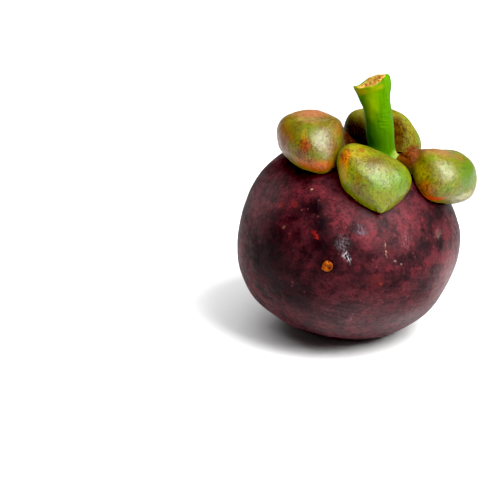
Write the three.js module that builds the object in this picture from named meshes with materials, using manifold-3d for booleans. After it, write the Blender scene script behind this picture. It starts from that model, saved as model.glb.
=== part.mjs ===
// A ripe mangosteen, as picked: a leathery globe of rind, the four thick sepals that stay on it like
// hoods round a stout green stalk, and the woody stigma rosette of the flower at its blossom end.
// It stands on a small flat spot with its stalk end leaning towards +X. Millimetres, +Z up.
// The origin is the centre of the flat spot.
import * as THREE from "three";
import { mergeVertices } from "three/addons/utils/BufferGeometryUtils.js";
import Module from "manifold-3d";

const { degToRad } = THREE.MathUtils;

// The rind: a globe, flatter towards the stalk than towards the blossom end.
const EQUATOR_RADIUS = 30.7;
const STALK_END_HEIGHT = 24.9;
const BLOSSOM_END_HEIGHT = 30.6;
const LEAN = degToRad(17);
const FLAT_SPOT_DEPTH = 0.35;
const RIND_MERIDIANS = 56;
const RIND_PARALLELS = 36;

// The calyx grows from the bottom of a dimple in the stalk end.
const DIMPLE_DEPTH = 2.6;
const DIMPLE_REACH = 14;

// The sepals: each is a thick hollow hood with its rim close over the rind.
const WALL = 2.3;
const RIM_CLEARANCE = 0.7;
const HOOD_SECTORS = 28;
const HOOD_RINGS = 10;

// The stalk: its foot fills the middle of the calyx, and its cut end flares.
const FOOT_RADIUS = 5;
const FOOT_LEVEL = 1;
const STALK_RADIUS = 3.6;
const END_FLARE = 1.4;
const STALK_SIDES = 24;
const STALK_STEPS = 18;

// The rosette: flat lobes that meet in the middle, on the fuller side of the blossom end.
const ROSETTE_LOBES = 6;
const ROSETTE_RADIUS = 6.4;
const ROSETTE_WAIST = 0.62;
const ROSETTE_THICKNESS = 0.8;
const ROSETTE_GAP = 0.35;
const ROSETTE_TURN = degToRad(20);
const ROSETTE_AZIMUTH = degToRad(108);
const ROSETTE_SIDES = 48;
const ROSETTE_RINGS = 5;

const wasm = await Module();
wasm.setup();

const RIND_MATERIAL = new THREE.MeshStandardMaterial({ color: 0x4b2832, roughness: 0.45 });
const SEPAL_MATERIAL = new THREE.MeshStandardMaterial({ color: 0xa3a238, roughness: 0.4 });
const STALK_MATERIAL = new THREE.MeshStandardMaterial({ color: 0x5d9a1a, roughness: 0.5 });
const ROSETTE_MATERIAL = new THREE.MeshStandardMaterial({ color: 0x4b3524, roughness: 0.8 });

// The clay-like pulls that make the globe uneven, in its own frame: +Z runs to the stalk end.
const RIND_PULLS = [
  { at: [0, 0, STALK_END_HEIGHT], move: [0, 0, -DIMPLE_DEPTH], reach: DIMPLE_REACH },
  { at: [-24, -4, -18], move: [-1.3, 0, -3.4], reach: 32 },
  { at: [22, -4, -20], move: [0.7, 0, -0.5], reach: 22 },
  { at: [-4, -25, -17], move: [0, -1.2, -0.8], reach: 22 },
  { at: [-4, 25, -17], move: [0, 1.2, -0.8], reach: 22 },
];

// Moves the points round one place of a surface, as a thumb moves clay.
function pull(points, { at, move, reach }) {
  const centre = new THREE.Vector3(...at);
  const shift = new THREE.Vector3(...move);
  for (const point of points) {
    const near = Math.max(0, 1 - point.distanceTo(centre) / reach);
    point.addScaledVector(shift, near * near * (3 - 2 * near));
  }
}

function bareGlobe(points) {
  for (const p of points) {
    const height = p.z > 0 ? STALK_END_HEIGHT : BLOSSOM_END_HEIGHT;
    p.set(p.x * EQUATOR_RADIUS, p.y * EQUATOR_RADIUS, p.z * height);
  }
}

function rindGeometry() {
  const geometry = new THREE.SphereGeometry(1, RIND_MERIDIANS, RIND_PARALLELS).rotateX(Math.PI / 2);
  const position = geometry.attributes.position;
  const points = Array.from({ length: position.count }, (_, i) =>
    new THREE.Vector3().fromBufferAttribute(position, i),
  );
  bareGlobe(points);
  for (const thumb of RIND_PULLS) pull(points, thumb);
  position.copyArray(points.flatMap((p) => p.toArray()));
  return geometry;
}

// The height of the rind's surface over a place of the stalk end.
function shoulderHeight(x, y) {
  const across = Math.min(1, Math.hypot(x, y) / EQUATOR_RADIUS);
  const point = new THREE.Vector3(x, y, STALK_END_HEIGHT * Math.sqrt(1 - across ** 2));
  pull([point], RIND_PULLS[0]);
  return point.z;
}

// The standing pose: the fruit leans, and its flat spot comes to z = 0.
function standingPose(geometry) {
  const lean = new THREE.Matrix4().makeRotationY(LEAN);
  const position = geometry.clone().applyMatrix4(lean).attributes.position;
  let lowest = 0;
  for (let i = 1; i < position.count; i++) {
    if (position.getZ(i) < position.getZ(lowest)) lowest = i;
  }
  const foot = new THREE.Vector3().fromBufferAttribute(position, lowest);
  return new THREE.Matrix4()
    .makeTranslation(-foot.x, -foot.y, -foot.z - FLAT_SPOT_DEPTH)
    .multiply(lean);
}

function toSolid(geometry) {
  const bare = geometry.clone();
  bare.deleteAttribute("normal");
  bare.deleteAttribute("uv");
  const merged = mergeVertices(bare, 1e-4);
  return new wasm.Manifold(
    new wasm.Mesh({
      numProp: 3,
      vertProperties: merged.attributes.position.array,
      triVerts: new Uint32Array(merged.index.array),
    }),
  );
}

function toGeometry(solid) {
  const mesh = solid.getMesh();
  return new THREE.BufferGeometry()
    .setAttribute("position", new THREE.BufferAttribute(mesh.vertProperties, 3))
    .setIndex(new THREE.BufferAttribute(mesh.triVerts, 1));
}

// Takes away what would reach below the flat spot.
function cutFlat(geometry) {
  const side = 4 * EQUATOR_RADIUS;
  const below = new THREE.BoxGeometry(side, side, side).translate(0, 0, -side / 2);
  return toGeometry(toSolid(geometry).subtract(toSolid(below)));
}

// A closed skin from a first pole over rings of points to a last pole.
function skin(first, rings, last) {
  const sides = rings[0].length;
  const points = [first, ...rings.flat(), last];
  const at = (ring, side) => 1 + ring * sides + (side % sides);
  const end = rings.length - 1;
  const faces = [];
  for (let side = 0; side < sides; side++) {
    faces.push(0, at(0, side), at(0, side + 1));
    for (let ring = 0; ring < end; ring++) {
      const [a, b] = [at(ring, side), at(ring, side + 1)];
      const [c, d] = [at(ring + 1, side), at(ring + 1, side + 1)];
      faces.push(a, c, b, b, c, d);
    }
    faces.push(at(end, side), points.length - 1, at(end, side + 1));
  }
  const positions = new Float32Array(points.flatMap((p) => p.toArray()));
  return new THREE.BufferGeometry()
    .setAttribute("position", new THREE.BufferAttribute(positions, 3))
    .setIndex(faces);
}

// The sepals. Sizes are half-lengths outwards, across and up; reach and level place the middle
// of the hood from the seat of the calyx; the rim stays above rimLevel. Pulls are in the hood's
// own frame: +X outwards along the shoulder, +Z up.
const SEPALS = [
  {
    name: "sepal_left",
    azimuth: 188,
    size: [9.2, 11.4, 9],
    reach: 19.8,
    level: -0.4,
    roll: 0,
    rimLevel: -6.8,
    pulls: [
      { at: [-7.6, 0, 1.2], move: [-5.2, 0, 0.8], reach: 7.2 },
      { at: [-5, 9, -2], move: [-1.6, 2.2, -1.2], reach: 9 },
    ],
  },
  {
    name: "sepal_front",
    azimuth: -92.5,
    size: [9.4, 10.2, 9.2],
    reach: 15.6,
    level: -1.2,
    roll: -14,
    rimLevel: -6.2,
    pulls: [
      { at: [-9.2, 0, 2], move: [-0.8, 0, 0.4], reach: 7 },
      { at: [8, 4, -5], move: [0.9, 1.2, -0.6], reach: 7 },
      { at: [0, -8, 5], move: [0, -0.7, 1], reach: 7 },
    ],
  },
  {
    name: "sepal_right",
    azimuth: -9,
    size: [9.3, 11.3, 7.8],
    reach: 19.1,
    level: 0.9,
    roll: 0,
    rimLevel: -3.4,
    pulls: [
      { at: [-7.6, 0, -0.4], move: [-5, 0, 0.5], reach: 7.2 },
      { at: [-5, -9, -2], move: [-1.2, -0.8, -0.8], reach: 8 },
    ],
  },
  {
    name: "sepal_back",
    azimuth: 85,
    size: [9.3, 11.8, 9.5],
    reach: 16.4,
    level: -0.8,
    roll: 0,
    rimLevel: -6.6,
    pulls: [{ at: [-9.2, 0, 2], move: [-1, 0, 0.4], reach: 7 }],
  },
];

// A point of a hood's shell, by its angle down from the top.
function hoodPoint([out, across, up], pulls, down, sector) {
  const round = (2 * Math.PI * sector) / HOOD_SECTORS;
  const point = new THREE.Vector3(
    out * Math.sin(down) * Math.cos(round),
    across * Math.sin(down) * Math.sin(round),
    up * Math.cos(down),
  );
  for (const thumb of pulls) pull([point], thumb);
  return point;
}

// How far down from the top each sector ends: at the hood's rim level, or close over the rind.
function rimAnglesOf({ size, pulls, rimLevel }, place) {
  const clears = (point) => {
    const { x, y, z } = point.applyMatrix4(place);
    return z > Math.max(rimLevel, shoulderHeight(x, y) - SEAT_HEIGHT + RIM_CLEARANCE);
  };
  const innerSize = size.map((half) => half - WALL);
  return Array.from({ length: HOOD_SECTORS }, (_, sector) => {
    let [above, below] = [degToRad(40), degToRad(160)];
    while (below - above > 0.002) {
      const down = (above + below) / 2;
      const outerClears = clears(hoodPoint(size, pulls, down, sector));
      if (outerClears && clears(hoodPoint(innerSize, pulls, down, sector))) above = down;
      else below = down;
    }
    return above;
  });
}

function hoodGeometry({ size, pulls }, rimAngles) {
  const innerSize = size.map((half) => half - WALL);
  const ringOf = (halves, share) =>
    rimAngles.map((rimAngle, sector) => hoodPoint(halves, pulls, rimAngle * share, sector));
  const [outer, inner] = [[], []];
  for (let ring = 1; ring <= HOOD_RINGS; ring++) {
    outer.push(ringOf(size, ring / HOOD_RINGS));
    inner.push(ringOf(innerSize, ring / HOOD_RINGS));
  }
  return skin(
    hoodPoint(size, pulls, 0, 0),
    [...outer, ...inner.reverse()],
    hoodPoint(innerSize, pulls, 0, 0),
  );
}

function sepal(settings) {
  const mesh = new THREE.Mesh(new THREE.BufferGeometry(), SEPAL_MATERIAL);
  mesh.name = settings.name;
  mesh.position.set(settings.reach, 0, settings.level);
  mesh.rotation.x = degToRad(settings.roll);
  const turn = new THREE.Group();
  turn.rotation.z = degToRad(settings.azimuth);
  turn.add(mesh);
  turn.updateMatrixWorld();
  mesh.geometry = hoodGeometry(settings, rimAnglesOf(settings, mesh.matrixWorld));
  return turn;
}

// The middle line of the stalk, from its foot to its cut end.
const STALK_LINE = new THREE.CatmullRomCurve3(
  [
    [0.6, 0, FOOT_LEVEL],
    [-0.8, 0, 5],
    [-2.5, 0, 10],
    [-4.6, 0, 14.2],
    [-6.8, 0, 17.8],
    [-9, 0, 20.8],
  ].map((p) => new THREE.Vector3(...p)),
);

function stalkGeometry() {
  const rings = [];
  for (let step = 0; step <= STALK_STEPS; step++) {
    const along = step / STALK_STEPS;
    const centre = STALK_LINE.getPointAt(along);
    const forward = STALK_LINE.getTangentAt(along).lerp(new THREE.Vector3(0, 0, 1), (1 - along) ** 4);
    const across = new THREE.Vector3(0, 1, 0).cross(forward).normalize();
    const foot = (FOOT_RADIUS - STALK_RADIUS) * Math.exp(-((along / 0.1) ** 2));
    const flare = END_FLARE * Math.max(0, (along - 0.7) / 0.3) ** 2;
    const radius = STALK_RADIUS + foot + flare;
    rings.push(
      Array.from({ length: STALK_SIDES }, (_, side) => {
        const round = (2 * Math.PI * side) / STALK_SIDES;
        return centre
          .clone()
          .addScaledVector(across, radius * Math.cos(round))
          .add(new THREE.Vector3(0, radius * Math.sin(round), 0));
      }),
    );
  }
  const cutEnd = STALK_LINE.getPointAt(1);
  const underside = new THREE.Vector3(0.6, 0, FOOT_LEVEL - 0.5);
  return skin(cutEnd, rings.reverse(), underside);
}

// A ring of the rosette on the globe; lift is its height over the rind.
function rosetteRing(share, lift) {
  const hinge = new THREE.Vector3(Math.sin(ROSETTE_AZIMUTH), -Math.cos(ROSETTE_AZIMUTH), 0);
  const ring = Array.from({ length: ROSETTE_SIDES }, (_, side) => {
    const round = (2 * Math.PI * side) / ROSETTE_SIDES;
    const lobe = Math.abs(Math.sin((ROSETTE_LOBES * round) / 2)) ** 0.5;
    const radius = share * ROSETTE_RADIUS * (ROSETTE_WAIST + (1 - ROSETTE_WAIST) * lobe);
    const down = radius / BLOSSOM_END_HEIGHT;
    return new THREE.Vector3(
      Math.sin(down) * Math.cos(round),
      Math.sin(down) * Math.sin(round),
      -Math.cos(down),
    ).applyAxisAngle(hinge, ROSETTE_TURN);
  });
  bareGlobe(ring);
  for (const thumb of RIND_PULLS) pull(ring, thumb);
  for (const p of ring) p.setLength(p.length() + lift);
  return ring;
}

function rosetteGeometry() {
  const [near, far] = [[], []];
  for (let ring = 1; ring <= ROSETTE_RINGS; ring++) {
    const share = ring / ROSETTE_RINGS;
    near.push(rosetteRing(share, ROSETTE_GAP));
    far.push(rosetteRing(share, ROSETTE_GAP + ROSETTE_THICKNESS));
  }
  const [under] = rosetteRing(0, ROSETTE_GAP);
  const [over] = rosetteRing(0, ROSETTE_GAP + ROSETTE_THICKNESS);
  return skin(under, [...near, ...far.reverse()], over);
}

const mangosteen = new THREE.Group();

const globe = rindGeometry();
const STANDING = standingPose(globe);
const SEAT_HEIGHT = shoulderHeight(0, 0);

const rind = new THREE.Mesh(cutFlat(globe.applyMatrix4(STANDING)), RIND_MATERIAL);
rind.name = "rind";
mangosteen.add(rind);

const leaning = new THREE.Group();
leaning.applyMatrix4(STANDING);
mangosteen.add(leaning);

const rosette = new THREE.Mesh(rosetteGeometry(), ROSETTE_MATERIAL);
rosette.name = "stigma_rosette";
leaning.add(rosette);

const calyx = new THREE.Group();
calyx.position.z = SEAT_HEIGHT;
leaning.add(calyx);
for (const settings of SEPALS) calyx.add(sepal(settings));

const stalk = new THREE.Mesh(stalkGeometry(), STALK_MATERIAL);
stalk.name = "stalk";
calyx.add(stalk);

export default mangosteen;
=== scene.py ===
import math

import bmesh
import bpy
from mathutils import Matrix, Vector
from mathutils.bvhtree import BVHTree


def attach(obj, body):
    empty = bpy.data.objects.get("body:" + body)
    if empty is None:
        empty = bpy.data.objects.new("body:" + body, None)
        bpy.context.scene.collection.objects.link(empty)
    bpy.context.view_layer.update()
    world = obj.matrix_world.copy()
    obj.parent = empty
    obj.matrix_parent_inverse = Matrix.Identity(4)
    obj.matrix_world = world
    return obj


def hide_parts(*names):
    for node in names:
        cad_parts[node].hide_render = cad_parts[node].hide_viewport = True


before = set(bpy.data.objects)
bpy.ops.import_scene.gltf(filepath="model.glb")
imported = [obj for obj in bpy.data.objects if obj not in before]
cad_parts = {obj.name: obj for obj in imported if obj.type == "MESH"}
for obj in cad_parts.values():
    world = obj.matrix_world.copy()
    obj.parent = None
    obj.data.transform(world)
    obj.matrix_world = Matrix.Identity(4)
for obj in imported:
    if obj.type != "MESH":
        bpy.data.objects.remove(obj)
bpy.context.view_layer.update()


# The rind: the thick leathery skin of the whole fruit, purple-brown and mottled where it ripened.
# It grew as one closed globe, flatter towards the stalk; here it is a ball pulled uneven, leant
# over to the right and cut flat where it rests. Sizes in this file are millimetres.
MM = 0.001
SAME_PLACE = 1e-6
EQUATOR_RADIUS = 30.7
STALK_END_HEIGHT = 24.9
BLOSSOM_END_HEIGHT = 30.6
LEAN = 17.0
GLOBE_CENTRE = Vector((-1.7595, 0.0, 30.3816))
RIND_LUMPS = (9, 0.5)
RIND_PULLS = [
    # at, move, reach
    ((0, 0, STALK_END_HEIGHT), (0, 0, -2.6), 14),
    ((-24, -4, -18), (-1.3, 0, -3.4), 32),
    ((22, -4, -20), (0.7, 0, -0.5), 22),
    ((-4, -25, -17), (0, -1.2, -0.8), 22),
    ((-4, 25, -17), (0, 1.2, -0.8), 22),
]


def pick(piece):
    """Selects one piece alone and makes it the active one."""
    bpy.ops.object.select_all(action="DESELECT")
    piece.select_set(True)
    bpy.context.view_layer.objects.active = piece


def edit(piece):
    """Opens one piece alone in edit mode."""
    pick(piece)
    bpy.ops.object.mode_set(mode="EDIT")


def done():
    """Goes back to object mode."""
    bpy.ops.object.mode_set(mode="OBJECT")


def choose_all():
    bpy.ops.mesh.select_all(action="SELECT")


def choose(piece, wanted, kind="VERT"):
    """Selects only the points, edges or faces that are wanted."""
    bpy.ops.mesh.select_mode(type=kind)
    bpy.ops.mesh.select_all(action="DESELECT")
    mesh = bmesh.from_edit_mesh(piece.data)
    for element in {"VERT": mesh.verts, "EDGE": mesh.edges, "FACE": mesh.faces}[kind]:
        if wanted(element):
            element.select_set(True)
    mesh.select_flush_mode()
    bmesh.update_edit_mesh(piece.data)


def pull(piece, at, move, reach, grip=0.0):
    """Moves the surface round one place, as a thumb moves clay; the grip moves as one."""
    spot = Vector(at) * MM
    mesh = bmesh.from_edit_mesh(piece.data)
    nearest = min((v.co - spot).length for v in mesh.verts)
    choose(piece, lambda v: (v.co - spot).length < nearest + grip * MM + 1e-7)
    bpy.ops.transform.translate(
        value=Vector(move) * MM,
        use_proportional_edit=True,
        proportional_edit_falloff="SMOOTH",
        proportional_size=reach * MM,
    )


def turn(degrees, axis):
    """Turns what is selected about the origin; with no window the operator turns the other way."""
    bpy.ops.transform.rotate(
        value=-math.radians(degrees), orient_axis=axis, center_override=(0, 0, 0)
    )


def stand_up():
    """Leans the whole piece with the fruit and lifts it, so that the flat spot is on the floor."""
    choose_all()
    turn(LEAN, "Y")
    bpy.ops.transform.translate(value=GLOBE_CENTRE * MM)


def finish_with(piece, kind, **settings):
    """Adds one modifier and applies it."""
    modifier = piece.modifiers.new(kind.lower(), kind)
    for setting, value in settings.items():
        setattr(modifier, setting, value)
    pick(piece)
    bpy.ops.object.modifier_apply(modifier=modifier.name)


def uneven(piece, name, size, depth):
    """Gives a grown surface lumps of about one size, up to half the depth in and out."""
    lumps = bpy.data.textures.new(name, "CLOUDS")
    lumps.noise_scale = size * MM
    lumps.noise_depth = 1
    finish_with(
        piece, "DISPLACE", texture=lumps, texture_coords="LOCAL", strength=depth * MM, mid_level=0.5
    )


def smooth(piece, degrees=45):
    """Shades a piece smooth, apart from the edges sharper than the angle."""
    pick(piece)
    bpy.ops.object.shade_smooth_by_angle(angle=math.radians(degrees))


class Wire:
    """One value, colour or vector on its way through a finish; sums on it add Math nodes."""

    def __init__(self, finish, socket):
        self.finish, self.socket = finish, socket

    def maths(self, operation, first, second):
        return self.finish.node("ShaderNodeMath", {"operation": operation}, {0: first, 1: second})

    def __add__(self, other):
        return self.maths("ADD", self, other)

    def __sub__(self, other):
        return self.maths("SUBTRACT", self, other)

    def __rsub__(self, other):
        return self.maths("SUBTRACT", other, self)

    def __mul__(self, other):
        return self.maths("MULTIPLY", self, other)

    __radd__, __rmul__ = __add__, __mul__


def seen(red, green, blue):
    """A colour as the eye reads it, 0 to 255, as the light values that a node takes."""
    return tuple(
        part / 12.92 if part <= 0.04045 else ((part + 0.055) / 1.055) ** 2.4
        for part in (red / 255, green / 255, blue / 255)
    )


class Finish:
    """A procedural material whose patterns are sized in millimetres on the standing fruit."""

    def __init__(self, name, **constants):
        self.material = bpy.data.materials.new(name)
        self.material.use_nodes = True
        self.tree = self.material.node_tree
        self.shader = self.tree.nodes["Principled BSDF"]
        for socket, value in constants.items():
            self.shader.inputs[socket.replace("_", " ")].default_value = value
        metres = self.node("ShaderNodeTexCoord", output="Object")
        self.place = self.node(
            "ShaderNodeVectorMath", {"operation": "SCALE"}, {0: metres, "Scale": 1 / MM}
        )
        self.ragged = self.wander(1.1, 1.6)

    def node(self, kind, settings=None, sockets=None, output=0):
        """Adds a node with its settings, then the values or wires of its sockets."""
        made = self.tree.nodes.new(kind)
        for setting, value in (settings or {}).items():
            setattr(made, setting, value)
        for socket, value in (sockets or {}).items():
            if isinstance(value, Wire):
                self.tree.links.new(value.socket, made.inputs[socket])
                continue
            entry = made.inputs[socket]
            if entry.type == "RGBA" and len(value) == 3:
                value = (*value, 1.0)
            entry.default_value = value
        return Wire(self, made.outputs[output])

    def noise(self, size, detail=2.0, rough=0.5, place=None, output=0):
        """Cloudy noise, 0 to 1, with clouds of about one size."""
        return self.node(
            "ShaderNodeTexNoise",
            {"noise_dimensions": "3D"},
            {
                "Vector": place or self.place,
                "Scale": 1.0 / size,
                "Detail": detail,
                "Roughness": rough,
            },
            output,
        )

    def wander(self, amount, size):
        """Places that stray by up to the amount, which gives what is drawn on them ragged edges."""
        drift = self.noise(size, 3.0, 0.6, output=1)
        moved = self.node(
            "ShaderNodeVectorMath",
            {"operation": "MULTIPLY_ADD"},
            {0: drift, 1: (2 * amount,) * 3, 2: self.place},
        )
        return self.node(
            "ShaderNodeVectorMath", {"operation": "SUBTRACT"}, {0: moved, 1: (amount,) * 3}
        )

    def framed(self, place, centre, turned=(0, 0, 0), size=(1, 1, 1)):
        """Places measured from a centre, turned with it, in its own sizes."""
        return self.node(
            "ShaderNodeMapping",
            {"vector_type": "TEXTURE"},
            {
                "Vector": place,
                "Location": centre,
                "Rotation": [math.radians(angle) for angle in turned],
                "Scale": size,
            },
        )

    def grade(self, value, start, end, low=0.0, high=1.0):
        """From low to high as the value goes from start to end, smoothly, and level outside."""
        return self.node(
            "ShaderNodeMapRange",
            {"interpolation_type": "SMOOTHSTEP"},
            {0: value, 1: start, 2: end, 3: low, 4: high},
        )

    def mark(self, centre, size, turned=(0, 0, 0), core=0.3, place=None):
        """A mask that is 1 inside the core of an oval mark and fades to 0 at its size."""
        if isinstance(size, (int, float)):
            size = (size,) * 3
        inside = self.framed(place or self.ragged, centre, turned, size)
        far = self.node("ShaderNodeVectorMath", {"operation": "LENGTH"}, {0: inside}, "Value")
        return self.grade(far, 1.0, core)

    def dots(self, place, apart):
        """How far each place is from the nearest of many scattered dots, in their own spacing."""
        return self.node(
            "ShaderNodeTexVoronoi", None, {"Vector": place, "Scale": 1 / apart}, "Distance"
        )

    def mix(self, below, above, amount):
        """One colour over another, as far as the amount says."""
        return self.node(
            "ShaderNodeMix",
            {"data_type": "RGBA", "blend_type": "MIX"},
            {0: amount, 6: below, 7: above},
            2,
        )

    def wear(self, colour=None, roughness=None, height=None, depth=0.1):
        """Leads the finished colour, roughness and relief (millimetres) to the shader."""
        for socket, wire in (("Base Color", colour), ("Roughness", roughness)):
            if wire is not None:
                self.tree.links.new(wire.socket, self.shader.inputs[socket])
        if height is not None:
            relief = self.node(
                "ShaderNodeBump", None, {"Strength": 1.0, "Distance": depth * MM, "Height": height}
            )
            self.tree.links.new(relief.socket, self.shader.inputs["Normal"])
        return self.material


bpy.ops.object.select_all(action="DESELECT")
bpy.ops.mesh.primitive_uv_sphere_add(segments=96, ring_count=64, radius=EQUATOR_RADIUS * MM)
rind = bpy.context.object
rind.name = rind.data.name = "rind_skin"
edit(rind)
for side, height in ((1, STALK_END_HEIGHT), (-1, BLOSSOM_END_HEIGHT)):
    choose(rind, lambda v: v.co.z * side > SAME_PLACE)
    bpy.ops.transform.resize(value=(1, 1, height / EQUATOR_RADIUS), center_override=(0, 0, 0))
for at, move, reach in RIND_PULLS:
    pull(rind, at, move, reach)
stand_up()
done()
finish_with(rind, "SUBSURF", levels=1, render_levels=1)
uneven(rind, "rind lumps", *RIND_LUMPS)
edit(rind)
choose_all()
bpy.ops.mesh.bisect(
    plane_co=(0, 0, 0), plane_no=(0, 0, 1), threshold=SAME_PLACE, clear_inner=True, use_fill=True
)
done()
smooth(rind)

NEAR_BLACK, PLUM, OLD_PURPLE = seen(11, 4, 6), seen(34, 12, 16), seen(68, 25, 31)
BLUSH, VEINED_PINK, GREYED = seen(96, 28, 36), seen(106, 34, 42), seen(70, 40, 46)
GRAIN_DARK, GRAIN_PINK, CREASE_SHADE = seen(14, 5, 7), seen(112, 44, 50), seen(15, 6, 8)
BLOOM_AND_SHEEN, SPECK = seen(128, 104, 106), seen(118, 66, 64)
CHAFED, PALE_SCAB = seen(110, 70, 74), seen(140, 110, 108)

# the ground colours, from the broad clouds to the fine grain
r = Finish("mangosteen_rind", Specular_IOR_Level=0.06)
leant = r.framed(r.place, GLOBE_CENTRE, (0, LEAN, 0))
clouds = r.grade(r.noise(7.0, 3.0, 0.6), 0.36, 0.64)
colour = r.mix(PLUM, OLD_PURPLE, clouds)
blush = r.grade(r.noise(3.0, 5.0, 0.7, r.ragged), 0.46, 0.70)
colour = r.mix(colour, BLUSH, blush * 0.65)
# pinker places: partly the skin's own blush, partly painted sheen where the light falls broadly
# across the upper front and the right
pink_and_sheen_places = [
    # centre, size, amount
    ((-6.0, -25.0, 44.5), (8.5, 8, 6.5), 0.6),
    ((3.5, -27.5, 40.5), (7, 7, 5.5), 0.75),
    ((12.0, -22.0, 41.5), (10, 8, 7), 0.65),
    ((-11.0, -19.5, 48.0), (6, 6, 4), 0.5),
    ((24.0, -15.0, 30.0), (8, 10, 12), 0.5),
    ((8.0, -28.0, 22.0), (14, 8, 9), 0.2),
]
veined = r.grade(r.noise(1.3, 4.0, 0.7), 0.36, 0.60, 0.35, 1.0)
for centre, size, amount in pink_and_sheen_places:
    colour = r.mix(colour, VEINED_PINK, r.mark(centre, size, core=0.0) * veined * amount)
mottle = r.grade(r.noise(4.4, 6.0, 0.68, r.ragged), 0.48, 0.64)
colour = r.mix(colour, NEAR_BLACK, mottle * 0.75)
grain = r.noise(0.75, 4.0, 0.7)
colour = r.mix(colour, GRAIN_DARK, r.grade(grain, 0.50, 0.34) * 0.55)
colour = r.mix(colour, GRAIN_PINK, r.grade(grain, 0.56, 0.76) * 0.3)
bands = r.framed(leant, (0, 0, 0), size=(6.5, 6.5, 0.7))
streaks = r.grade(r.noise(1.0, 3.0, 0.6, bands), 0.46, 0.68)
height = r.node("ShaderNodeSeparateXYZ", None, {0: r.place}, "Z")
lower = r.grade(height, 31.0, 22.0)
colour = r.mix(colour, GREYED, streaks * lower * 0.45)

# the dark places: most are the skin's own dark patches; some are painted shade, marked below
dark_and_shaded_places = [
    # centre, size, amount
    ((-11.6, -22.8, 45.4), (5.2, 6, 4.6), 0.85),
    ((-9.6, -25.5, 42.0), (3.6, 5, 4.6), 0.9),
    ((-9.5, -28.6, 37.0), (6.2, 6, 4.4), 0.8),
    ((-8.2, -30.0, 32.2), (5.2, 5, 4.4), 0.75),
    ((2.8, -29.8, 34.7), (3.0, 5, 2.4), 0.7),
    ((18.7, -21.2, 34.7), (4.6, 5, 2.8), 0.7),
    ((22.3, -17.4, 34.4), (2.2, 4, 4.2), 0.85),
    ((13.0, -26.0, 33.0), (5.6, 5, 2.6), 0.55),
    # painted shade under the rim of the left sepal
    ((-16.2, -13.3, 51.1), (6.5, 6, 3.6), 0.6),
    # painted shade under the rim of the right sepal
    ((22.0, -11.6, 40.8), (5.0, 6, 3.4), 0.8),
    # painted shade over the left side and low on the left, in this and the next two
    ((-24.0, -20.0, 30.0), (12, 12, 16), 0.72),
    ((-18.0, -25.0, 32.0), (14, 12, 20), 0.4),
    ((-15.0, -27.0, 20.0), (13, 10, 11), 0.6),
    ((-3.5, -29.0, 37.6), (2.8, 5, 3.0), 0.7),
    ((1.6, -27.4, 41.4), (2.2, 4, 1.8), 0.4),
    ((5.0, -24.0, 46.0), (13, 5, 2.0), 0.35),
    ((0.0, -30.0, 27.0), (16, 6, 3.4), 0.35),
    # painted shade: a dark ring round the calyx, under the sepals and stalk, in this and the next
    ((4.5, 1.0, 54.5), (19, 19, 7), 1.0),
    ((-1.5, 6.0, 54.5), (8, 10, 5), 1.0),
]
for centre, size, amount in dark_and_shaded_places:
    colour = r.mix(colour, NEAR_BLACK, r.mark(centre, size, core=0.15) * min(1, amount * 1.12))

# painted sheen: grey reflection along the grazing edges, partly the skin's waxy bloom; and a faint
# crease across the front, with painted shade in it
bloom_and_sheen_places = [
    # centre, size, amount
    ((-26.0, -11.0, 44.0), (12, 14, 13), 0.20),
    ((25.5, -11.5, 20.5), (10, 16, 15), 0.58),
    ((15.5, -18.5, 11.5), (15, 14, 8), 0.36),
    ((0.0, -26.0, 14.0), (24, 14, 13), 0.15),
]
bloom_and_sheen_grain = r.grade(r.noise(1.5, 4.0, 0.7), 0.35, 0.65, 0.7, 1.15)
# painted sheen, partly waxy bloom
for centre, size, amount in bloom_and_sheen_places:
    colour = r.mix(colour, BLOOM_AND_SHEEN, r.mark(centre, size, core=0.0) * bloom_and_sheen_grain * amount)
crease = r.mark((1.5, -30.0, 30.3), (13, 7, 0.9), (0, 1, 0), 0.0)
# painted shade in the crease
colour = r.mix(colour, CREASE_SHADE, crease * 0.6)

# where it was rubbed, in broken scratches, and the small spots and scabs
scratchy = r.framed(r.place, (0, 0, 0), (0, -25, 0), (0.35, 1.6, 1.0))
scratches = r.grade(r.noise(1.0, 4.0, 0.75, scratchy), 0.47, 0.58)
pale_places = [
    # colour, centre, size, turned, amount
    (seen(176, 172, 178), (-3.0, -30.0, 34.9), (1.0, 3, 2.5), (0, -28, 0), 1.6),
    (seen(96, 84, 90), (-4.2, -29.0, 38.2), (3.0, 4, 2.8), (0, -40, 0), 0.8),
    (seen(88, 80, 90), (0.5, -27.5, 41.1), (2.4, 4, 2.0), (0, 20, 0), 0.8),
    (seen(140, 96, 80), (7.2, -28.1, 36.1), (0.6, 3, 2.4), (0, -3, 0), 1.3),
    (seen(112, 94, 84), (21.7, -16.7, 36.4), (2.0, 4, 1.6), (0, 0, 0), 0.9),
    (CHAFED, (-1.6, -27.8, 16.0), (0.9, 4, 3.8), (0, 26, 0), 0.7),
    (CHAFED, (12.6, -24.8, 37.7), (2.4, 4, 3.0), (0, 0, 0), 0.6),
]
for tone, centre, size, turned, amount in pale_places:
    colour = r.mix(colour, tone, r.mark(centre, size, turned, 0.1) * scratches * amount)
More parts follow.
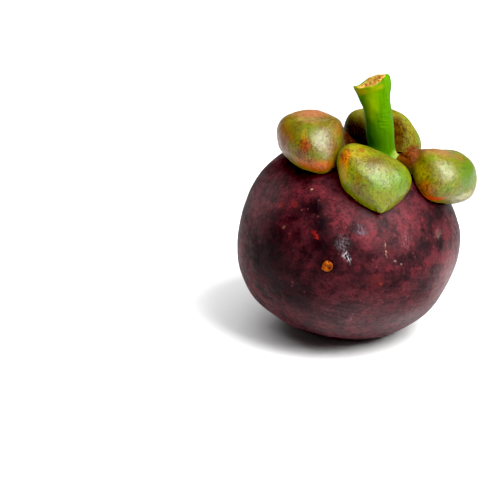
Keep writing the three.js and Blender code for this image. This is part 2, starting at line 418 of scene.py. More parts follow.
bright_places = [
    # colour, centre, size, amount
    (seen(104, 16, 12), (-11.9, -27.1, 40.0), 0.9, 0.75),
    (seen(120, 26, 14), (-11.2, -27.4, 39.2), 0.8, 0.75),
    (seen(150, 112, 84), (-13.0, -18.4, 49.3), 0.55, 0.9),
    (seen(92, 26, 24), (-17.5, -20.3, 45.6), 1.3, 0.6),
    (seen(92, 28, 24), (-20.8, -18.0, 44.6), 1.0, 0.6),
    (seen(126, 44, 28), (6.2, -29.4, 26.8), 0.7, 0.5),
    (seen(96, 30, 26), (5.2, -29.8, 27.8), 3.0, 0.25),
    (PALE_SCAB, (9.8, -28.0, 32.7), 0.5, 0.6),
    (PALE_SCAB, (11.4, -27.4, 31.9), 0.5, 0.5),
    (seen(150, 120, 112), (12.6, -24.8, 37.7), 0.4, 0.7),
    (seen(110, 84, 62), (-20.1, -22.5, 39.8), 0.7, 0.5),
]
for tone, centre, size, amount in bright_places:
    colour = r.mix(colour, tone, r.mark(centre, size, core=0.4) * amount)
specks = r.grade(r.dots(r.place, 1.9), 0.20, 0.09)
colour = r.mix(colour, SPECK, specks * r.grade(r.noise(6.0), 0.46, 0.60) * 0.3)
fine = r.noise(0.55, 3.0, 0.6)
relief = r.noise(2.6, 4.0, 0.6) * 0.7 + fine * 0.3 + streaks * lower * 0.12 - crease * 0.5
relief = relief - r.mark((7.2, -28.1, 36.1), (0.5, 3, 2.0), core=0.2) * 0.4
sheen = r.grade(r.noise(1.7, 4.0, 0.65), 0.3, 0.7, 0.42, 0.62)
rind.data.materials.append(r.wear(colour, sheen, relief, 0.2))
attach(rind, "root")
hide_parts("rind")


# The stigma rosette: the six dry woody lobes of the flower, flat on the blossom end.
# It is thin hard tissue grown onto the rind; each lobe is a wedge with a raised edge.
ROSETTE_LOBES = 6
ROSETTE_RADIUS = 6.4
ROSETTE_WAIST = 0.62
ROSETTE_TURN = 20.0
ROSETTE_AZIMUTH = 108.0
ROSETTE_THICKNESS = 0.8
ROSETTE_LIFT = 0.2
FACE_RINGS = (0.5, 0.9, 1.2, 1.2, 1.1, 0.9)
NOTCH_HALF_WIDTH = 0.02
NOTCH_FROM = 4
NOTCH_SPREAD = 1.7
RELIEF_STEPS = [
    # from, to (out from the middle), from, to (turns of a lobe off the notch), lift
    (1.4, 6.2, -0.01, 0.06, -0.30),
    (5.0, 7.0, 0.12, 0.51, 0.16),
    (0.0, 1.0, -0.01, 0.51, -0.22),
]

bpy.ops.object.select_all(action="DESELECT")
bpy.ops.mesh.primitive_circle_add(
    vertices=96, radius=ROSETTE_RADIUS * MM, fill_type="NGON",
    location=(0, 0, -BLOSSOM_END_HEIGHT * MM),
)
rosette = bpy.context.object
rosette.name = rosette.data.name = "stigma_rosette_wood"
bpy.ops.object.transform_apply(location=True, rotation=True, scale=True)
edit(rosette)
for width in FACE_RINGS:
    choose(rosette, lambda f: len(f.verts) > 4, "FACE")
    bpy.ops.mesh.inset(thickness=width * MM)
bpy.ops.mesh.poke()


def off_notch(flat):
    """How far a place on the flat rosette is off the nearest notch, in turns of a lobe."""
    lobes = math.degrees(math.atan2(flat.y, flat.x)) / (360 / ROSETTE_LOBES)
    return abs(lobes - round(lobes))


choose(
    rosette,
    lambda v: off_notch(v.co) < NOTCH_HALF_WIDTH and v.co.xy.length > NOTCH_FROM * MM,
)
bpy.ops.transform.resize(
    value=(ROSETTE_WAIST, ROSETTE_WAIST, 1), center_override=(0, 0, 0), use_proportional_edit=True,
    proportional_edit_falloff="ROOT", proportional_size=NOTCH_SPREAD * MM,
)
choose_all()
turn(-ROSETTE_AZIMUTH, "Z")
turn(-ROSETTE_TURN, "Y")
turn(ROSETTE_AZIMUTH, "Z")
stand_up()
done()
finish_with(
    rosette, "SHRINKWRAP", target=rind, wrap_method="NEAREST_SURFACEPOINT",
    wrap_mode="ABOVE_SURFACE", offset=ROSETTE_LIFT * MM,
)
rosette_centre = sum((v.co for v in rosette.data.vertices), Vector()) / len(rosette.data.vertices)
outwards = (rosette_centre - GLOBE_CENTRE * MM).normalized()
edit(rosette)
choose_all()
bpy.ops.mesh.normals_make_consistent(inside=False)
done()
finish_with(rosette, "SOLIDIFY", thickness=ROSETTE_THICKNESS * MM, offset=1.0)


def turned(degrees, axis):
    """The turn that turn() makes, as a matrix."""
    return Matrix.Rotation(math.radians(degrees), 4, axis)


laid_on = turned(LEAN, "Y") @ turned(ROSETTE_AZIMUTH, "Z") @ turned(-ROSETTE_TURN, "Y")
laid_on = laid_on @ turned(-ROSETTE_AZIMUTH, "Z")
to_flat = (Matrix.Translation(GLOBE_CENTRE * MM) @ laid_on).inverted()


def in_step(v, step):
    """Whether a point is on the outer face and in the part of each lobe that a step is for."""
    inner, outer, low, high = step
    flat = to_flat @ v.co
    in_part = inner < flat.xy.length / MM < outer and low < off_notch(flat) < high
    return in_part and v.normal.dot(outwards) > 0.5


edit(rosette)
for *step, lift in RELIEF_STEPS:
    choose(rosette, lambda v: in_step(v, step))
    bpy.ops.transform.shrink_fatten(value=lift * MM)
done()
finish_with(rosette, "SUBSURF", levels=1, render_levels=1)
smooth(rosette)

w = Finish("rosette_wood", Specular_IOR_Level=0.3)
grain = w.noise(0.7, 4.0, 0.7)
blotches = w.grade(w.noise(2.2, 3.0, 0.6), 0.4, 0.62)
colour = w.mix(seen(66, 48, 36), seen(104, 82, 60), blotches)
colour = w.mix(colour, seen(34, 24, 20), w.grade(grain, 0.55, 0.7) * 0.8)
colour = w.mix(colour, seen(140, 116, 88), w.grade(w.noise(0.35, 2.0), 0.62, 0.7) * 0.5)
rosette.data.materials.append(w.wear(colour, w.grade(grain, 0.3, 0.7, 0.7, 0.9), grain, 0.25))
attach(rosette, "root")
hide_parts("stigma_rosette")


# The resin drop: the yellow sap that oozes from a scratch in the rind and dries on it.
# It is a hard glossy bead, a flattened ball pulled uneven with its underside sunk in the rind.
RESIN_PLACE = (-8.2, -30.1, 31.9)
RESIN_SIZE = (1.4, 0.85, 1.5)
RESIN_TURN = -16
RESIN_LUMPS = (0.7, 0.35)
RESIN_PULLS = [
    # at, move, reach
    ((1.2, -0.5, 0.9), (0.25, -0.1, 0.35), 1.1),
    ((-1.3, -0.5, -0.6), (-0.3, 0, -0.35), 1.2),
    ((0.5, -0.9, -0.1), (0, 0.5, 0), 0.9),
    ((0.2, -0.9, 0.9), (0, -0.22, 0), 0.8),
]

bpy.ops.object.select_all(action="DESELECT")
bpy.ops.mesh.primitive_uv_sphere_add(segments=40, ring_count=24, radius=1.0 * MM)
resin = bpy.context.object
resin.name = resin.data.name = "resin_drop"
edit(resin)
bpy.ops.transform.resize(value=RESIN_SIZE, center_override=(0, 0, 0))
for at, move, reach in RESIN_PULLS:
    pull(resin, at, move, reach)
choose_all()
turn(RESIN_TURN, "Z")
bpy.ops.transform.translate(value=Vector(RESIN_PLACE) * MM)
done()
uneven(resin, "resin lumps", *RESIN_LUMPS)
smooth(resin, 80)

d = Finish("dried_resin", Specular_IOR_Level=0.08)
colour = d.mix(seen(112, 46, 0), seen(142, 70, 2), d.grade(d.noise(0.9, 3.0), 0.4, 0.65))
hook = d.mark((-7.3, -31.0, 31.7), (0.95, 2, 0.42), (0, -20, 0), 0.3)
colour = d.mix(colour, seen(50, 16, 4), hook * 0.95)
colour = d.mix(colour, seen(84, 34, 6), d.grade(d.noise(0.4, 2.0), 0.58, 0.7) * 0.6)
resin.data.materials.append(d.wear(colour, d.grade(d.noise(0.5), 0.3, 0.7, 0.25, 0.45)))
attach(resin, "root")


# The sepals: four thick leathery hoods that stay on the fruit, green turning to yellow and rust.
# Each grows from the calyx by a narrow neck and closes over the rind with a thin rim, which
# hangs just clear of it. They are one recipe, with the sizes, pulls and colours of each.
SEAT_HEIGHT = 22.3
WALL = 1.9
RIM_WALL = 0.35
RIM_FADE = 3.5
RIM_GAP = 0.45
CUT_TOLERANCE = 0.01
WELD = 0.12
HOOD_DENTS = (5.5, 0.55)
SALMON, YELLOW, ORANGE_BROWN = seen(168, 100, 70), seen(150, 128, 2), seen(110, 40, 0)
OLIVE, LEAF = seen(76, 60, 6), seen(70, 108, 0)
SEPALS = {
    "sepal_left": dict(
        shape=dict(
            azimuth=190.6, size=(8.6, 11.8, 7.7), reach=21.1, level=1.2, roll=6,
            pulls=[
                # at, move, reach
                ((-5, 3, 7), (-1.4, -0.3, 1.5), 12),
                ((-4, 9, -3), (-1.5, 3.1, -2.0), 12),
                ((0, 0, 9), (-2.9, 0.6, -1.3), 12),
                ((7, 4, -5), (-0.6, 0.2, -0.6), 10),
                ((-2, -10, 3), (-2.3, 0.3, 1.4), 12),
            ],
            # at, move, reach, grip
            neck=((-10, 1, -0.5), (-7.2, -0.6, -1.8), 4.2, 1.4),
        ),
        skin=(seen(100, 78, 6), seen(98, 96, 4)),
        roughness=(0.33, 0.46), shine=0.27,
        marks_and_painted_light=[
            # colour, centre, size, amount
            (SALMON, (-13.5, -0.5, 66.5), (9.5, 9, 3.6), 0.95),
            (seen(150, 122, 70), (-13.0, -7.8, 65.2), (9.0, 4, 0.45), 0.6),
            (seen(122, 66, 10), (-21.0, -8.0, 60.6), (5.0, 9, 5.2), 0.95),
            (OLIVE, (-17.3, -10.9, 64.2), (2.8, 4, 1.8), 0.7),
            (seen(78, 90, 0), (-14.5, -12.0, 63.4), (5.4, 5, 3.0), 0.7),
            (seen(140, 116, 0), (-15.2, -14.0, 61.8), (1.2, 4, 3.6), 0.8),
            (YELLOW, (-6.4, -9.0, 62.4), (1.4, 4, 2.4), 0.6),
            (seen(132, 46, 4), (-15.0, -15.4, 60.2), (2.2, 4, 3.4), 0.9),
            (seen(108, 44, 6), (-16.6, -15.2, 58.4), (1.6, 4, 2.0), 0.7),
            (seen(106, 62, 14), (-7.6, -13.0, 59.5), (2.4, 5, 6.0), 0.5),
            # painted highlight: a pale grey-green patch under the gloss highlight
            (seen(112, 116, 80), (-10.6, -13.4, 61.5), (3.4, 5, 5.0), 0.6),
            (seen(84, 92, 6), (-11.6, -16.4, 57.8), (3.8, 4, 2.6), 0.85),
            # partly the neck's own dark red-brown, partly painted shade, here and in the next line
            (seen(44, 15, 8), (-2.4, -5.0, 59.4), (5.4, 9, 9.5), 1.0),
            (seen(34, 11, 7), (0.5, -2.0, 56.5), (6.0, 7, 6.0), 1.0),
            (seen(104, 56, 12), (-6.0, -8.0, 63.2), (3.0, 5, 3.4), 0.8),
            (seen(170, 74, 14), (-13.5, -16.4, 55.2), (9.5, 6, 2.9), 0.95),
            (seen(92, 40, 26), (-20.8, -9.8, 57.6), (3.4, 6, 4.2), 0.8),
        ],
        scuffs=[
            # centre, size, amount
            ((-14.5, -15.4, 59.6), (4.5, 5, 4.5), 1.0),
            ((-9.0, -7.0, 65.2), (5.0, 6, 2.4), 0.9),
            ((-9.5, -13.0, 59.0), (4.0, 5, 6.0), 0.6),
        ],
        # centre, size
        dull=((-1.6, -4.0, 58.8), (5.6, 9, 9.0)),
    ),
    "sepal_front": dict(
        shape=dict(
            azimuth=-96.2, size=(9.8, 10.0, 7.3), reach=16.3, level=-0.8, roll=-24,
            pulls=[
                ((0, -8, 5), (-0.4, -2.7, -1.0), 12),
                ((-1, 3, 8), (-0.1, 2.1, 1.5), 12),
                ((0, 9.5, 3), (-0.9, -0.2, 1.8), 12),
                ((8, 3, -5), (0.1, 2.5, 0.9), 10),
                ((6, -7, -4), (0.2, 0.6, 0.6), 12),
                ((6, 0, -6), (0.5, -1.5, -0.4), 10),
            ],
            neck=((-9.5, 0, 1), (-2.8, 0.6, 0.2), 3.6, 1.6),
            tip=((5.8, -25.2, 46.6), (0.1, -0.55, -0.85), 2.4),
        ),
        skin=(seen(96, 98, 2), seen(100, 112, 4)),
        roughness=(0.33, 0.46), shine=0.27,
        marks_and_painted_light=[
            (seen(138, 122, 12), (-0.6, -18.3, 60.0), (4.8, 6, 3.6), 0.85),
            (seen(164, 132, 6), (-4.6, -21.2, 55.6), (3.0, 5, 4.6), 0.85),
            (seen(188, 98, 0), (-4.2, -19.0, 58.6), (2.5, 4, 3.6), 0.95),
            (ORANGE_BROWN, (-4.9, -18.4, 58.6), (0.9, 3, 1.2), 0.8),
            (ORANGE_BROWN, (-3.3, -17.2, 60.3), (0.7, 3, 0.6), 0.8),
            (seen(126, 56, 6), (0.3, -17.4, 60.5), (1.3, 3, 1.0), 0.8),
            (seen(96, 56, 12), (4.0, -20.6, 58.3), (4.6, 3, 1.5), 0.7),
            (seen(90, 36, 12), (2.0, -7.0, 57.5), (5.0, 5, 5.0), 0.9),
            (seen(92, 84, 36), (4.6, -21.8, 57.2), (4.6, 4, 3.2), 0.6),
            # painted highlight: a pale patch under the gloss highlight
            (seen(140, 136, 70), (5.4, -22.4, 56.6), (2.8, 4, 2.2), 0.5),
            (seen(72, 106, 0), (5.0, -24.6, 53.8), (5.5, 5, 4.5), 0.7),
            (LEAF, (10.6, -20.8, 53.0), (4.6, 6, 5.4), 0.8),
            (seen(100, 60, 6), (-0.9, -24.8, 53.2), (1.8, 4, 5.0), 0.6),
            (seen(84, 64, 4), (1.0, -25.6, 51.0), (3.0, 4, 3.4), 0.5),
            (seen(104, 110, 0), (4.6, -26.0, 50.6), (3.6, 4, 2.8), 0.7),
        ],
        scuffs=[
            ((3.6, -20.8, 58.6), (7.5, 5, 2.6), 1.0),
            ((-4.0, -19.0, 58.5), (2.4, 5, 3.0), 0.7),
            ((0.2, -25.2, 53.4), (3.4, 6, 3.4), 0.35),
        ],
        dull=((2.0, -7.0, 57.5), (5.0, 5, 5.0)),
    ),
    "sepal_right": dict(
        shape=dict(
            azimuth=-8.9, size=(7.5, 12.2, 7.5), reach=19.2, level=2.3, roll=0,
            pulls=[
                ((-4, -6, -6), (-1.3, -1.7, -0.9), 12),
                ((0, 0, 8), (2.5, 0.8, -1.6), 12),
                ((5, -8, -4), (-0.3, 0.3, 1.0), 12),
                ((-6, -5, 4), (-2.4, 0.6, 2.8), 12),
                ((7, 2, -5), (2.3, -0.2, -0.5), 12),
            ],
            neck=((-9, -1, 2.0), (-5.4, 0.5, -2.2), 3.8, 1.5),
        ),
        skin=(seen(104, 94, 2), seen(96, 96, 4)),
        roughness=(0.33, 0.46), shine=0.27,
        marks_and_painted_light=[
            (seen(138, 92, 54), (22.0, -5.0, 56.4), (8.5, 5.5, 2.6), 0.9),
            (seen(104, 52, 16), (15.8, -5.0, 55.8), (3.4, 4, 2.2), 0.8),
            # painted highlight: a pale grey-green patch under the gloss highlight
            (seen(108, 116, 64), (23.0, -13.0, 53.0), (4.2, 5, 4.6), 0.65),
            (seen(68, 98, 0), (29.2, -8.0, 50.5), (6.0, 9, 6.0), 1.0),
            (seen(150, 88, 16), (27.5, -3.6, 54.0), (2.2, 3, 1.0), 0.7),
            (seen(164, 86, 6), (17.4, -13.2, 47.6), (4.4, 6, 4.2), 0.9),
            (seen(176, 58, 6), (19.6, -14.0, 45.2), (5.4, 5, 1.5), 1.0),
            # painted reflection of the white floor at the lower right
            (seen(166, 164, 112), (28.6, -8.4, 44.4), (4.0, 5, 2.0), 0.8),
            (seen(122, 60, 28), (13.0, -4.8, 54.4), (5.6, 8, 4.2), 1.0),
            (seen(40, 12, 6), (11.8, -4.6, 54.2), (3.4, 6, 0.7), 0.9),
            (seen(156, 138, 8), (16.4, -10.4, 51.6), (3.0, 5, 3.6), 0.9),
        ],
        scuffs=[
            ((14.5, -4.5, 55.2), (5.0, 6, 2.6), 1.0),
            ((17.5, -13.0, 47.8), (4.5, 5, 4.0), 0.6),
        ],
        dull=((11.6, -3.6, 54.0), (5.4, 7, 4.5)),
    ),
    "sepal_back": dict(
        shape=dict(
            azimuth=86, size=(9.2, 11.4, 9.6), reach=16.4, level=0, roll=-7.4,
            pulls=[
                ((-9, 0, 2), (-1, 0, 0.4), 7),
                ((0, 10, 4), (0.4, 0.3, 1.2), 8),
                ((0, -9, 4), (-0.6, -1.0, -1.8), 8),
            ],
            neck=((-10, 0, 1.5), (-2.6, -0.5, -0.5), 3.6, 1.6),
        ),
        # a lighter skin than the other hoods: partly its own paler olive, partly painted sheen in
        # place of the gloss this dull hood lacks
        skin=(seen(108, 102, 18), seen(122, 122, 34)),
        roughness=(0.42, 0.55), shine=0.07,
        marks_and_painted_light=[
            (seen(112, 108, 40), (-1.0, 14.6, 60.4), (6, 7, 2.0), 0.7),
            # painted shade, partly its own dark brown: the near-black side facing the stalk and the
            # left sepal
            (seen(14, 5, 4), (-2.5, 10.0, 55.4), (10.0, 14, 7.6), 1.0),
            (seen(56, 24, 2), (10.4, 10.0, 56.2), (3.6, 8, 8.0), 0.95),
            (seen(50, 20, 4), (9.2, 9.6, 56.0), (1.3, 7, 6.0), 0.9),
            (LEAF, (16.8, 14.3, 53.0), (2.2, 8, 5.0), 0.5),
            (seen(106, 36, 12), (14.4, 10.5, 51.2), (4.6, 4, 1.3), 0.95),
            (seen(70, 28, 10), (8.5, 8.4, 53.0), (3.8, 5, 3.0), 0.9),
        ],
        scuffs=[((10.8, 10.0, 55.8), (6.0, 8, 7.0), 1.0)],
        dull=((6.0, 9.0, 55.8), (9.0, 9, 9.0)),
    ),
}

# the middle of the calyx, where necks and stalk meet, on the standing fruit
calyx = GLOBE_CENTRE + turned(LEAN, "Y") @ Vector((0, 0, SEAT_HEIGHT))

# what the hoods are cut by: the rind, grown by the gap under their rims
rim_cutter = rind.copy()
rim_cutter.data = rind.data.copy()
bpy.context.scene.collection.objects.link(rim_cutter)
edit(rim_cutter)
choose_all()
bpy.ops.transform.shrink_fatten(value=RIM_GAP * MM)
done()
cutter_surface = BVHTree.FromObject(rim_cutter, bpy.context.evaluated_depsgraph_get())


GREEN, RUST, STRAW = seen(78, 108, 4), seen(94, 52, 12), seen(150, 146, 16)
PALE_FIBRE, DARK_FIBRE, DOT = seen(140, 136, 14), seen(60, 34, 10), seen(64, 26, 12)
DARK_OLIVE, SCRATCH = seen(50, 32, 4), seen(56, 26, 4)
SCUFF_STRENGTH = 1.6


def without_gloss(finish, where):
    """Takes the gloss off a finish where the wire says so, as on dry corky skin."""
    dry = finish.tree.nodes.new("ShaderNodeBsdfPrincipled")
    dry.inputs["Roughness"].default_value = 1.0
    dry.inputs["Specular IOR Level"].default_value = 0.0
    for socket in ("Base Color", "Normal"):
        worn = finish.shader.inputs[socket].links[0].from_socket
        finish.tree.links.new(worn, dry.inputs[socket])
    skins = {1: Wire(finish, finish.shader.outputs[0]), 2: Wire(finish, dry.outputs[0])}
    blend = finish.node("ShaderNodeMixShader", None, {0: where, **skins})
    surface = finish.tree.nodes["Material Output"].inputs["Surface"]
    finish.tree.links.new(blend.socket, surface)


def shape_hood(name, azimuth, size, reach, level, roll, pulls, neck, tip=None):
    """A ball pulled to a hood with a neck, set on the calyx, cut at the rind and made a shell."""
    bpy.ops.object.select_all(action="DESELECT")
    bpy.ops.mesh.primitive_ico_sphere_add(subdivisions=6, radius=1.0 * MM)
    hood = bpy.context.object
    hood.name = hood.data.name = name + "_hood"
    edit(hood)
    choose_all()
    bpy.ops.transform.resize(value=size, center_override=(0, 0, 0))
    for place in pulls:
        pull(hood, *place)
    choose_all()
    bpy.ops.mesh.vertices_smooth(factor=0.5, repeat=40)
    pull(hood, *neck)
    choose_all()
    bpy.ops.mesh.vertices_smooth(factor=0.5, repeat=8)
    turn(roll, "X")
    bpy.ops.transform.translate(value=Vector((reach, 0, level + SEAT_HEIGHT)) * MM)
    turn(azimuth, "Z")
    stand_up()
    if tip:
        pull(hood, *tip)
    done()
    uneven(hood, name + " dents", *HOOD_DENTS)

    # the side that would sink into the rind is cut away, which leaves the rim
    finish_with(hood, "BOOLEAN", operation="DIFFERENCE", object=rim_cutter, solver="EXACT")
    edit(hood)

    def on_cut(face):
        off = cutter_surface.find_nearest(face.calc_center_median())[3]
        return off < CUT_TOLERANCE * MM

    choose(hood, on_cut, "FACE")
    bpy.ops.mesh.delete(type="FACE")
    choose(hood, lambda v: v.is_boundary or any(e.is_boundary for e in v.link_edges))
    rim = hood.vertex_groups.new(name="rim")
    bpy.ops.object.vertex_group_assign()
    choose_all()
    bpy.ops.mesh.remove_doubles(threshold=WELD * MM)
    bpy.ops.mesh.normals_make_consistent(inside=False)
    done()

    # the wall thins towards the rim
    rim_points = [
        v.co.copy() for v in hood.data.vertices if any(g.group == rim.index for g in v.groups)
    ]
    wall = hood.vertex_groups.new(name="wall")
    for v in hood.data.vertices:
        off = min((v.co - p).length for p in rim_points[::4])
        share = min(1.0, RIM_WALL + (1 - RIM_WALL) * off / (RIM_FADE * MM))
        wall.add([v.index], share, "REPLACE")
    finish_with(
        hood, "SOLIDIFY", thickness=WALL * MM, offset=-1.0, vertex_group="wall",
        thickness_vertex_group=0.0, use_even_offset=False,
    )
    hood.vertex_groups.clear()
    smooth(hood, 50)
    return hood


for name, sepal in SEPALS.items():
    hood = shape_hood(name, **sepal["shape"])
    s = Finish("mangosteen_" + name, Specular_IOR_Level=sepal["shine"])
    along = s.framed(s.place, calyx, (0, LEAN, sepal["shape"]["azimuth"]))
    colour = s.mix(*sepal["skin"], s.grade(s.noise(3.2, 4.0, 0.65), 0.40, 0.62))
    green = s.grade(s.noise(4.6, 3.0, 0.6, s.ragged), 0.50, 0.66)
    colour = s.mix(colour, GREEN, green * 0.65)
    rusty = s.grade(s.noise(2.4, 5.0, 0.72), 0.52, 0.70)
    colour = s.mix(colour, RUST, rusty * 0.6)
    fine = s.noise(0.8, 3.0, 0.7)
    colour = s.mix(colour, STRAW, s.grade(fine, 0.46, 0.34) * 0.35)

    # what is marked on each hood, partly painted highlight, reflection or shade; what covers fully
    # is even, the rest broken up
    broken = s.grade(s.noise(0.9, 5.0, 0.7), 0.38, 0.58, 0.6, 1.1)
    for tone, centre, size, amount in sepal["marks_and_painted_light"]:
        covered = s.mark(centre, size, core=0.28) * amount
        colour = s.mix(colour, tone, covered * broken if amount < 1 else covered)

    # fibres that run from the neck to the rim, dots, and short dark scratches where it is scuffed
    fibres = s.noise(1.0, 3.0, 0.7, s.framed(along, (0, 0, 0), size=(0.42, 0.42, 3.2)))
    colour = s.mix(colour, PALE_FIBRE, s.grade(fibres, 0.58, 0.72) * 0.25)
    colour = s.mix(colour, DARK_FIBRE, s.grade(fibres, 0.44, 0.32) * 0.6)
    dotted = s.grade(s.dots(s.ragged, 1.3), 0.26, 0.12) * s.grade(s.noise(4.0), 0.48, 0.60)
    colour = s.mix(colour, DOT, dotted * 0.6)
    colour = s.mix(colour, DARK_OLIVE, s.grade(fine, 0.53, 0.66) * 0.6)
    short = s.framed(s.ragged, (0, 0, 0), (12, 8, 0), (0.30, 0.30, 1.3))
    scratched = s.grade(s.noise(1.0, 3.0, 0.7, short), 0.52, 0.58)
    worn = s.grade(s.noise(5.0, 2.0), 0.50, 0.62) * 0.6
    for centre, size, amount in sepal["scuffs"]:
        worn = worn + s.mark(centre, size, core=0.1) * (amount * SCUFF_STRENGTH)
    colour = s.mix(colour, SCRATCH, scratched * worn)

    # the neck is dull and corky
    corky = s.mark(*sepal["dull"], core=0.4)
    roughness = s.grade(s.noise(1.2, 4.0, 0.7), 0.3, 0.7, *sepal["roughness"]) + corky * 0.5
    relief = s.noise(1.6, 4.0, 0.6) * 0.5 + fibres * 0.25 - dotted * 0.25 + fine * 0.45
    relief = relief + corky * s.noise(1.1, 4.0, 0.7) * 3.0
    hood.data.materials.append(s.wear(colour, roughness, relief, 0.16))
    without_gloss(s, corky)
    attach(hood, "root")
    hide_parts(name)
bpy.data.objects.remove(rim_cutter)


# The stalk: the stout green stem that the fruit was picked by, smooth, with a spreading foot in
# the middle of the calyx. It is drawn out ring by ring, bends over and ends in a ragged cut.
STALK_LINE = [
    # from the foot up, measured from the calyx: to the right and up
    Vector((right, 0, up))
    for right, up in (
        (0.9, 1.0), (-0.8, 5.0), (-2.8, 10.0), (-4.9, 14.2), (-7.1, 17.8), (-9.0, 20.8),
    )
]
STALK_RINGS = 30
STALK_RADIUS = 3.85
FOOT_RADIUS = 5.0
FOOT_FADE = 0.06
END_FLARE = 1.4
FLARE_START = 0.56
CUT_RIM = 0.7
CUT_SINK = 0.5
STALK_LUMPS = (3.6, 0.35)


def line_point(along):
    """A point of the stalk's middle line, from 0 at the foot to 1 at the cut end."""
    spans = len(STALK_LINE) - 1
    span = min(int(along * spans), spans - 1)
    t = along * spans - span
    b, c = STALK_LINE[span], STALK_LINE[span + 1]
    a = STALK_LINE[span - 1] if span else b * 2 - c
    d = STALK_LINE[span + 2] if span + 2 <= spans else c * 2 - b
    return 0.5 * (
        2 * b + (c - a) * t + (2 * a - 5 * b + 4 * c - d) * t**2
        + (3 * b - 3 * c + d - a) * t**3
    )


def ring_at(along):
    """Middle, tilt in degrees and radius of one ring."""
    step = line_point(min(1, along + 0.01)) - line_point(max(0, along - 0.01))
    tilt = math.degrees(math.atan2(step.x, step.z)) * (1 - (1 - along) ** 4)
    foot = (FOOT_RADIUS - STALK_RADIUS) * math.exp(-((along / FOOT_FADE) ** 2))
    flare = END_FLARE * max(0, (along - FLARE_START) / (1 - FLARE_START)) ** 1.5
    return line_point(along), tilt, STALK_RADIUS + foot + flare


bpy.ops.object.select_all(action="DESELECT")
bpy.ops.mesh.primitive_circle_add(
    vertices=48, radius=FOOT_RADIUS * MM, fill_type="NGON", location=STALK_LINE[0] * MM
)
stalk = bpy.context.object
stalk.name = stalk.data.name = "stalk_stem"
bpy.ops.object.transform_apply(location=True, rotation=True, scale=True)
edit(stalk)
bpy.ops.mesh.select_mode(type="FACE")
choose_all()
centre, tilt, radius = ring_at(0)
for ring in range(1, STALK_RINGS + 1):
    next_centre, next_tilt, next_radius = ring_at(ring / STALK_RINGS)
    bpy.ops.mesh.extrude_region_move(
        TRANSFORM_OT_translate={"value": (next_centre - centre) * MM}
    )
    middle = next_centre * MM
    bpy.ops.transform.resize(value=(next_radius / radius,) * 3, center_override=middle)
    bpy.ops.transform.rotate(
        value=-math.radians(next_tilt - tilt), orient_axis="Y", center_override=middle
    )
    centre, tilt, radius = next_centre, next_tilt, next_radius

# the cut end: a thin rim, then a torn face, sunk a little and higher at its right side
bpy.ops.mesh.inset(thickness=CUT_RIM * MM, depth=0.1 * MM)
bpy.ops.mesh.inset(thickness=0.25 * MM, depth=-CUT_SINK * MM)
cut_normal = Vector((math.sin(math.radians(tilt)), 0, math.cos(math.radians(tilt))))
across = Vector((cut_normal.z, 0, -cut_normal.x))
cut_middle = centre * MM
bpy.ops.mesh.delete(type="ONLY_FACE")
bpy.ops.mesh.select_mode(type="EDGE")
choose(stalk, lambda e: e.is_boundary, "EDGE")
bpy.ops.mesh.fill_grid(span=12)
bpy.ops.mesh.subdivide(number_cuts=1)
bpy.ops.object.material_slot_add()
bpy.ops.object.material_slot_add()
stalk.active_material_index = 1
bpy.ops.object.material_slot_assign()
bpy.ops.transform.vertex_random(offset=0.42 * MM, uniform=0.0, normal=0.0, seed=4)
for right, back, out, move, reach in (
    # where on the cut face: to the right, to the back, outwards; then move, reach
    (3.4, -0.4, 0, cut_normal * 1.2, 4.2),
    (-3.0, 3.4, 0, cut_normal * -1.3, 4.2),
    (2.2, 0, 0, cut_normal * 0.6, 2.0),
    (-1.0, -2.0, 0, cut_normal * -0.8, 2.4),
    (5.0, 0, -2.2, across * 0.9, 4.0),
):
    at = centre + across * right + Vector((0, back, 0)) + cut_normal * out
    pull(stalk, at, move, reach)

# the foot spreads to the right
pull(stalk, (4.6, -1.5, 1.4), (2.1, -0.4, 0.2), 3.2)


def past_cut(depth):
    """Selects what lies beyond a plane that far below the cut face."""
    choose(stalk, lambda v: (v.co - cut_middle).dot(cut_normal) > -depth * MM)


past_cut(1.6)
bpy.ops.mesh.vertices_smooth(factor=0.5, repeat=5)
past_cut(0.4)
bpy.ops.transform.vertex_random(offset=0.22 * MM, uniform=0.0, normal=0.0, seed=9)
choose_all()
bpy.ops.mesh.normals_make_consistent(inside=False)
bpy.ops.transform.translate(value=(0, 0, SEAT_HEIGHT * MM))
stand_up()
done()
finish_with(stalk, "SUBSURF", levels=2, render_levels=2)
uneven(stalk, "stalk lumps", *STALK_LUMPS)
smooth(stalk, 60)

g = Finish("stalk_green", Specular_IOR_Level=0.03)
upright = g.framed(g.place, calyx, (0, -9, 0))
streak = g.noise(1.0, 3.0, 0.6, g.framed(upright, (0, 0, 0), size=(0.8, 0.8, 5)))
colour = g.mix(seen(62, 106, 0), seen(72, 118, 0), g.grade(streak, 0.36, 0.66))
green_places = [
    # colour, centre, size, core, amount
    (seen(126, 154, 0), (2.7, -4.0, 68.6), (2.8, 6, 7.5), 0.0, 0.95),
    (seen(40, 78, 0), (5.5, -2.0, 57.5), (5, 6, 7.0), 0.1, 0.7),
    (seen(142, 132, 40), (-1.0, -2.5, 72.0), (2.4, 5, 2.0), 0.1, 0.6),
    (seen(150, 134, 14), (0.5, -3.6, 72.6), (3.2, 3, 1.7), 0.2, 0.7),
    (seen(150, 134, 14), (3.6, -3.0, 73.8), (3.2, 3, 1.7), 0.2, 0.7),
    (seen(128, 140, 60), (10.6, -2.2, 53.6), (2.8, 5, 2.4), 0.3, 0.9),
]
for tone, centre, size, core, amount in green_places:
    colour = g.mix(colour, tone, g.mark(centre, size, core=core) * amount)
colour = g.mix(colour, seen(106, 104, 14), g.grade(g.noise(0.8, 4.0, 0.7), 0.62, 0.74) * 0.4)
wrinkles = g.noise(1.0, 3.0, 0.6, g.framed(upright, (0, 0, 0), (0, 12, 0), (3.0, 3.0, 0.8)))
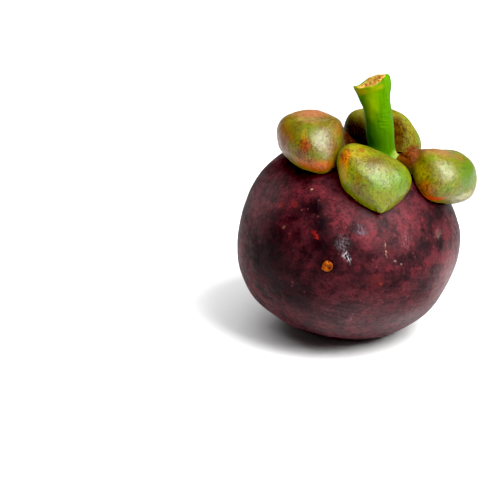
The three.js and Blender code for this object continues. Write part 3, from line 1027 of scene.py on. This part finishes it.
relief = wrinkles * g.mark((7.0, -2.0, 66.0), (4.5, 6, 10), core=0.3) * 2.2 + streak * 0.08
sheen = g.grade(g.noise(1.0, 3.0), 0.3, 0.7, 0.52, 0.62)
stalk.material_slots[0].material = g.wear(colour, sheen, relief, 0.18)

t = Finish("stalk_cut", Specular_IOR_Level=0.15, Roughness=0.7)
torn = t.noise(0.8, 4.0, 0.7)
colour = t.mix(seen(164, 118, 8), seen(196, 172, 88), t.grade(torn, 0.42, 0.58))
colour = t.mix(colour, seen(152, 84, 6), t.grade(t.noise(1.3, 3.0), 0.46, 0.6) * 0.7)
colour = t.mix(colour, seen(76, 26, 10), t.grade(t.noise(0.7, 3.0, 0.6), 0.54, 0.64) * 0.9)
dried_spots = [
    # centre, size
    ((-0.8, -3.4, 73.2), 1.4),
    ((4.6, -1.2, 75.3), 1.3),
    ((1.2, -0.8, 73.4), 0.8),
]
for centre, size in dried_spots:
    colour = t.mix(colour, seen(104, 30, 14), t.mark(centre, size, core=0.3) * 0.85)
stalk.material_slots[1].material = t.wear(colour, None, torn, 0.35)
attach(stalk, "root")
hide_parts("stalk")


# The floor: a plain white studio sheet under the fruit, lit soft and bright. A big square softbox
# hangs overhead and a small one stands at the right. Neither shows in the gloss; what shines on
# the skins is a third, wider light at the right, which lights nothing else. Sizes in metres.
FLOOR_SIZE = 6
OVERHEAD = dict(place=(-0.1, -0.1, 1.5), size=(2.0, 2.0), watts=32.0)
SIDE = dict(place=(0.47, -0.37, 0.73), size=(0.50, 0.60), watts=18.5)
GLOW = dict(place=SIDE["place"], size=(0.90, 0.95), watts=56.0)
AIM = Vector((0, 0, 0.035))
ROOM_LIGHT = 0.09

bpy.ops.object.select_all(action="DESELECT")
bpy.ops.mesh.primitive_plane_add(size=FLOOR_SIZE)
floor = bpy.context.object
floor.name = floor.data.name = "studio_floor"
p = Finish("white_studio_sheet", Specular_IOR_Level=0.1, Roughness=0.9)
floor.data.materials.append(
    p.wear(p.mix(seen(238, 238, 238), seen(243, 243, 243), p.noise(300.0)))
)

world = bpy.data.worlds.new("studio")
world.use_nodes = True
background = world.node_tree.nodes["Background"]
background.inputs["Color"].default_value = (*seen(250, 251, 255), 1)
background.inputs["Strength"].default_value = ROOM_LIGHT
bpy.context.scene.world = world


def softbox(name, place, size, watts):
    """A rectangular softbox aimed at the fruit."""
    lamp = bpy.data.lights.new(name, "AREA")
    lamp.shape, (lamp.size, lamp.size_y), lamp.energy = "RECTANGLE", size, watts
    holder = bpy.data.objects.new(name, lamp)
    bpy.context.scene.collection.objects.link(holder)
    holder.location = place
    holder.rotation_euler = (AIM - Vector(place)).to_track_quat("-Z", "Y").to_euler()
    return holder


softbox("overhead_softbox", **OVERHEAD).visible_glossy = False
softbox("side_softbox", **SIDE).visible_glossy = False
softbox("side_glow", **GLOW).visible_diffuse = False


# The camera: a long lens from the front, looking down on the fruit, which it shows right of and
# above the middle of a square picture. Distances in metres, the lens and its film in millimetres.
LOOK_DOWN = math.radians(22)
DISTANCE = 0.528
LENS, FILM_WIDTH = 135.0, 36.0
PICTURE = 500
FRUIT_SHOWS_AT = (351.9, 227.3)
FOCAL_PIXELS = LENS / FILM_WIDTH * PICTURE

lens = bpy.data.cameras.new("camera")
lens.lens, lens.sensor_width = LENS, FILM_WIDTH
camera = bpy.data.objects.new("camera", lens)
bpy.context.scene.collection.objects.link(camera)
backwards = Vector((0, -math.cos(LOOK_DOWN), math.sin(LOOK_DOWN)))
upwards = Vector((0, math.sin(LOOK_DOWN), math.cos(LOOK_DOWN)))
camera.location = GLOBE_CENTRE * MM + backwards * DISTANCE
off_right = (FRUIT_SHOWS_AT[0] - PICTURE / 2) / FOCAL_PIXELS * DISTANCE
off_up = (PICTURE / 2 - FRUIT_SHOWS_AT[1]) / FOCAL_PIXELS * DISTANCE
target = GLOBE_CENTRE * MM - Vector((off_right, 0, 0)) - upwards * off_up
camera.rotation_euler = (target - camera.location).to_track_quat("-Z", "Y").to_euler()
bpy.context.scene.camera = camera

# plain tones, with the black point raised a little, so that the shadows go to full black
view = bpy.context.scene.view_settings
view.view_transform = "Standard"
view.use_curve_mapping = True
view.curve_mapping.black_level = (0.008,) * 3
view.curve_mapping.update()
